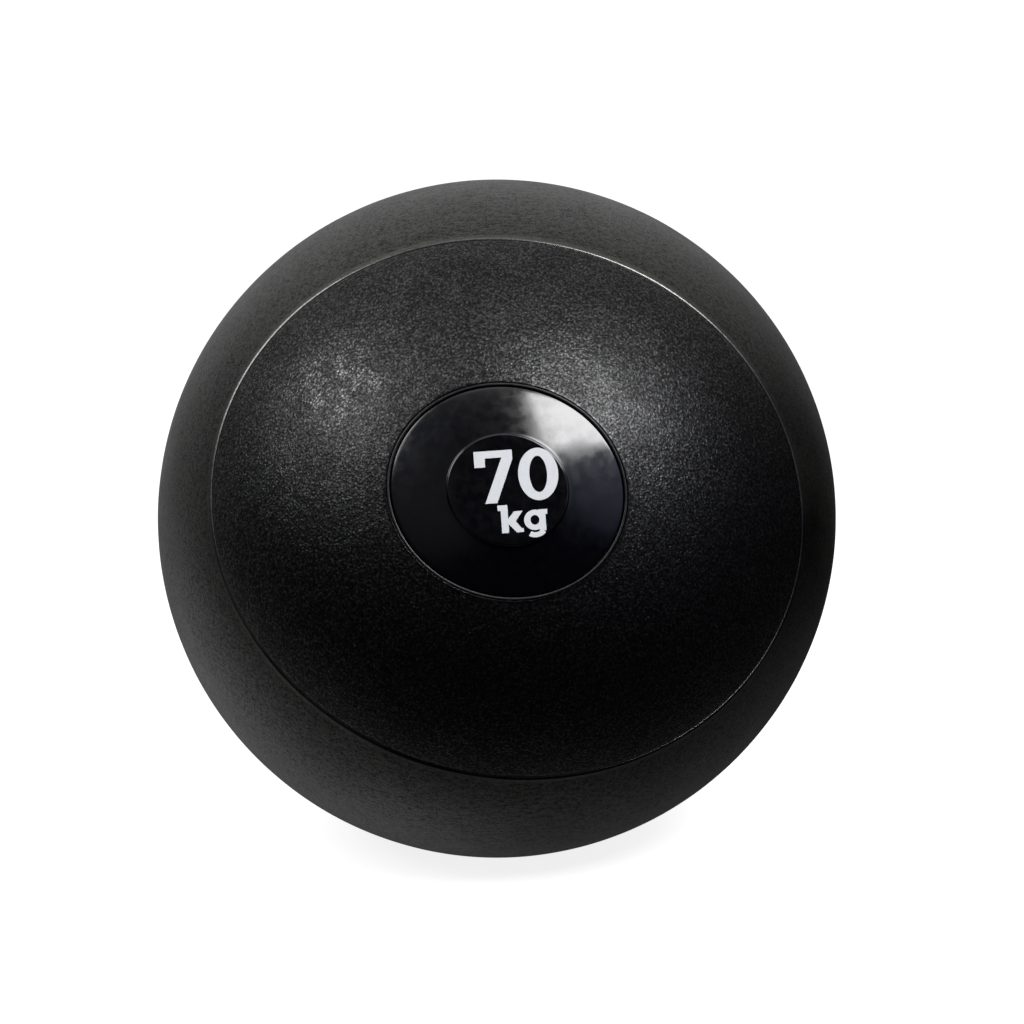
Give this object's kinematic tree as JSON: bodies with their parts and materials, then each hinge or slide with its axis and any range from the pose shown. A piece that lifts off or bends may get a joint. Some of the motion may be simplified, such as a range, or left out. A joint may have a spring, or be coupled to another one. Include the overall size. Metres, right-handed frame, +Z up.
{
  "type": "slam medicine ball",
  "caption": "Heavy black rubber medicine ball, sand filled, with a glossy weight disc at one pole and a plain disc at the other.",
  "frame": {"origin": "on the floor, at the middle of the flat the settled ball rests on, straight below the ball's centre", "axes": "+Z up; the pole with the weight disc looks along -Y and 15 degrees upwards; +X to the right as the number is read"},
  "size_m": [0.36, 0.3612, 0.3545],
  "materials": {
    "shell_rubber": "satin",
    "belt_rubber": "matte",
    "disc_plastic": "gloss",
    "trim_rubber": "satin",
    "print_ink": "satin",
    "bladder_rubber": "matte",
    "iron_sand": "matte",
    "filler_nylon": "matte",
    "cement_rubber": "satin"
  },
  "bodies": {
    "root": {"belt_shell": "belt_rubber", "front_cap_shell": "shell_rubber", "rear_cap_shell": "shell_rubber", "front_seam_cement": "cement_rubber", "rear_seam_cement": "cement_rubber", "inner_bladder": "bladder_rubber", "iron_sand_fill": "iron_sand", "filler_neck": "filler_nylon", "filler_plug": "filler_nylon", "plug_washer": "trim_rubber", "front_disc": "disc_plastic", "rear_disc": "disc_plastic", "front_disc_glue": "cement_rubber", "rear_disc_glue": "cement_rubber", "front_trim_ring": "trim_rubber", "rear_trim_ring": "trim_rubber", "weight_number": "print_ink", "weight_unit": "print_ink"}
  },
  "joints": []
}
